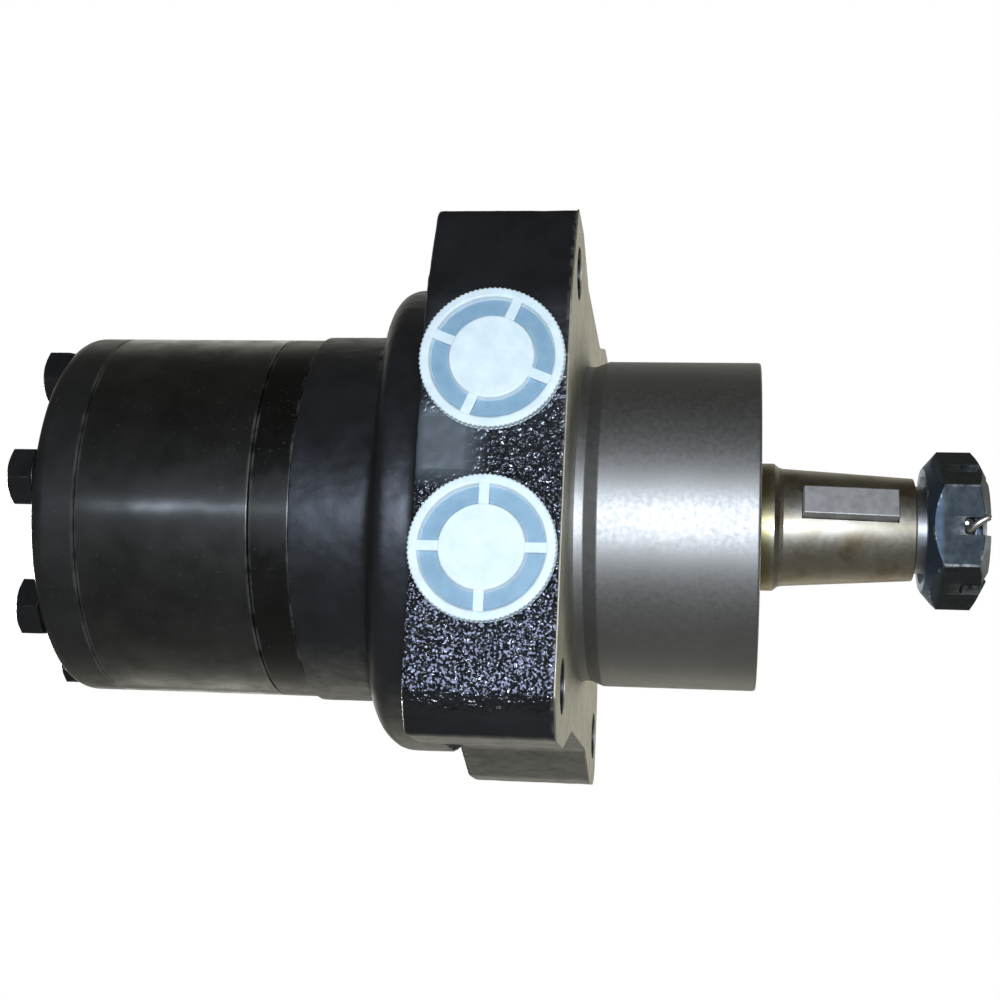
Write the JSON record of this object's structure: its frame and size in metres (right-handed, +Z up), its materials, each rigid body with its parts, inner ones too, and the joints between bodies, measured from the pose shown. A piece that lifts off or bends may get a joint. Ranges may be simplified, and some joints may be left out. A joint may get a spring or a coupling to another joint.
{
  "type": "hydraulic motor",
  "caption": "Wheel-mount orbital hydraulic motor: black cast body with plugged ports, turned nose, tapered keyed shaft and slotted nut.",
  "frame": {"origin": "on the shaft's axis, in the plane of the machined mounting face", "axes": "+X along the shaft towards the nut, +Z up, the two ports face -Y"},
  "size_m": [0.2525, 0.1358, 0.1326],
  "materials": {
    "black_paint": "semi-gloss black paint over cast iron and steel",
    "turned_steel": "fine turned, warm tint",
    "key_steel": "ground",
    "black_oxide": "black oxide, satin",
    "bright_wire": "bright zinc",
    "ground_steel": "ground and oiled",
    "bare_iron": "machined",
    "bronze": "matt bronze",
    "seal_rubber": "matt black",
    "plug_plastic": "moulded, milky"
  },
  "bodies": {
    "housing_group": {"housing": "black_paint", "spacer_plate": "black_paint", "stator_ring": "black_paint", "end_cover": "black_paint", "cover_bolt_1": "black_paint", "cover_bolt_2": "black_paint", "cover_bolt_3": "black_paint", "cover_bolt_4": "black_paint", "cover_bolt_5": "black_paint", "cover_bolt_6": "black_paint", "cover_bolt_7": "black_paint", "oring_front": "seal_rubber", "oring_middle": "seal_rubber", "oring_rear": "seal_rubber", "front_bearing_outer_race": "ground_steel", "rear_bearing_outer_race": "ground_steel", "bearing_spacer": "bare_iron", "shaft_seal": "seal_rubber", "retaining_ring": "bare_iron", "dust_seal": "seal_rubber"},
    "shaft_group": {"output_shaft": "turned_steel", "shaft_key": "key_steel", "slotted_nut": "black_oxide", "cotter_pin": "bright_wire", "front_bearing_inner_race": "ground_steel", "rear_bearing_inner_race": "ground_steel", "thrust_washer": "bronze"},
    "rotor_carrier": {"drive_link_spacer": "ground_steel"},
    "rotor_group": {"rotor": "ground_steel"},
    "link_group": {"drive_link": "ground_steel"},
    "roller_1_body": {"roller_1": "ground_steel"},
    "roller_2_body": {"roller_2": "ground_steel"},
    "roller_3_body": {"roller_3": "ground_steel"},
    "roller_4_body": {"roller_4": "ground_steel"},
    "roller_5_body": {"roller_5": "ground_steel"},
    "roller_6_body": {"roller_6": "ground_steel"},
    "roller_7_body": {"roller_7": "ground_steel"},
    "rear_cage": {"rear_bearing_rollers": "ground_steel"},
    "front_cage": {"front_bearing_rollers": "ground_steel"},
    "upper_plug": {"port_plug_upper": "plug_plastic"},
    "lower_plug": {"port_plug_lower": "plug_plastic"}
  },
  "joints": [
    {"name": "shaft_spin", "type": "hinge", "parent": "housing_group", "child": "shaft_group", "pos_m": [0, 0, 0], "axis": [1, 0, 0], "continuous": true},
    {"name": "rotor_orbit", "type": "hinge", "parent": "housing_group", "child": "rotor_carrier", "pos_m": [0, 0, 0], "axis": [1, 0, 0], "continuous": true},
    {"name": "rotor_spin", "type": "hinge", "parent": "rotor_carrier", "child": "rotor_group", "pos_m": [-0.1045, -0.0026, 0], "axis": [1, 0, 0], "continuous": true},
    {"name": "link_spin", "type": "hinge", "parent": "rotor_carrier", "child": "link_group", "pos_m": [-0.022, 0, 0], "axis": [0.9996, 0.0287, 0], "continuous": true},
    {"name": "roller_1_spin", "type": "hinge", "parent": "housing_group", "child": "roller_1_body", "pos_m": [-0.1045, -0.02478, 0.01193], "axis": [1, 0, 0], "continuous": true},
    {"name": "roller_2_spin", "type": "hinge", "parent": "housing_group", "child": "roller_2_body", "pos_m": [-0.1045, -0.00612, 0.02681], "axis": [1, 0, 0], "continuous": true},
    {"name": "roller_3_spin", "type": "hinge", "parent": "housing_group", "child": "roller_3_body", "pos_m": [-0.1045, 0.01715, 0.0215], "axis": [1, 0, 0], "continuous": true},
    {"name": "roller_4_spin", "type": "hinge", "parent": "housing_group", "child": "roller_4_body", "pos_m": [-0.1045, 0.0275, 0], "axis": [1, 0, 0], "continuous": true},
    {"name": "roller_5_spin", "type": "hinge", "parent": "housing_group", "child": "roller_5_body", "pos_m": [-0.1045, 0.01715, -0.0215], "axis": [1, 0, 0], "continuous": true},
    {"name": "roller_6_spin", "type": "hinge", "parent": "housing_group", "child": "roller_6_body", "pos_m": [-0.1045, -0.00612, -0.02681], "axis": [1, 0, 0], "continuous": true},
    {"name": "roller_7_spin", "type": "hinge", "parent": "housing_group", "child": "roller_7_body", "pos_m": [-0.1045, -0.02478, -0.01193], "axis": [1, 0, 0], "continuous": true},
    {"name": "rear_cage_spin", "type": "hinge", "parent": "housing_group", "child": "rear_cage", "pos_m": [0.0007, 0, 0], "axis": [1, 0, 0], "continuous": true},
    {"name": "front_cage_spin", "type": "hinge", "parent": "housing_group", "child": "front_cage", "pos_m": [0.0219, 0, 0], "axis": [1, 0, 0], "continuous": true},
    {"name": "upper_plug_pull", "type": "slide", "parent": "housing_group", "child": "upper_plug", "axis": [0, -1, 0], "range_m": [0, 0.03]},
    {"name": "lower_plug_pull", "type": "slide", "parent": "housing_group", "child": "lower_plug", "axis": [0, -1, 0], "range_m": [0, 0.03]}
  ],
  "couplings": [
    {"joint": "rotor_orbit", "follows": "shaft_spin", "ratio": -6},
    {"joint": "rotor_spin", "follows": "shaft_spin", "ratio": 7},
    {"joint": "link_spin", "follows": "shaft_spin", "ratio": 7},
    {"joint": "roller_1_spin", "follows": "shaft_spin", "ratio": -4.886},
    {"joint": "roller_2_spin", "follows": "shaft_spin", "ratio": -4.886},
    {"joint": "roller_3_spin", "follows": "shaft_spin", "ratio": -4.886},
    {"joint": "roller_4_spin", "follows": "shaft_spin", "ratio": -4.886},
    {"joint": "roller_5_spin", "follows": "shaft_spin", "ratio": -4.886},
    {"joint": "roller_6_spin", "follows": "shaft_spin", "ratio": -4.886},
    {"joint": "roller_7_spin", "follows": "shaft_spin", "ratio": -4.886},
    {"joint": "rear_cage_spin", "follows": "shaft_spin", "ratio": 0.45},
    {"joint": "front_cage_spin", "follows": "shaft_spin", "ratio": 0.45}
  ]
}
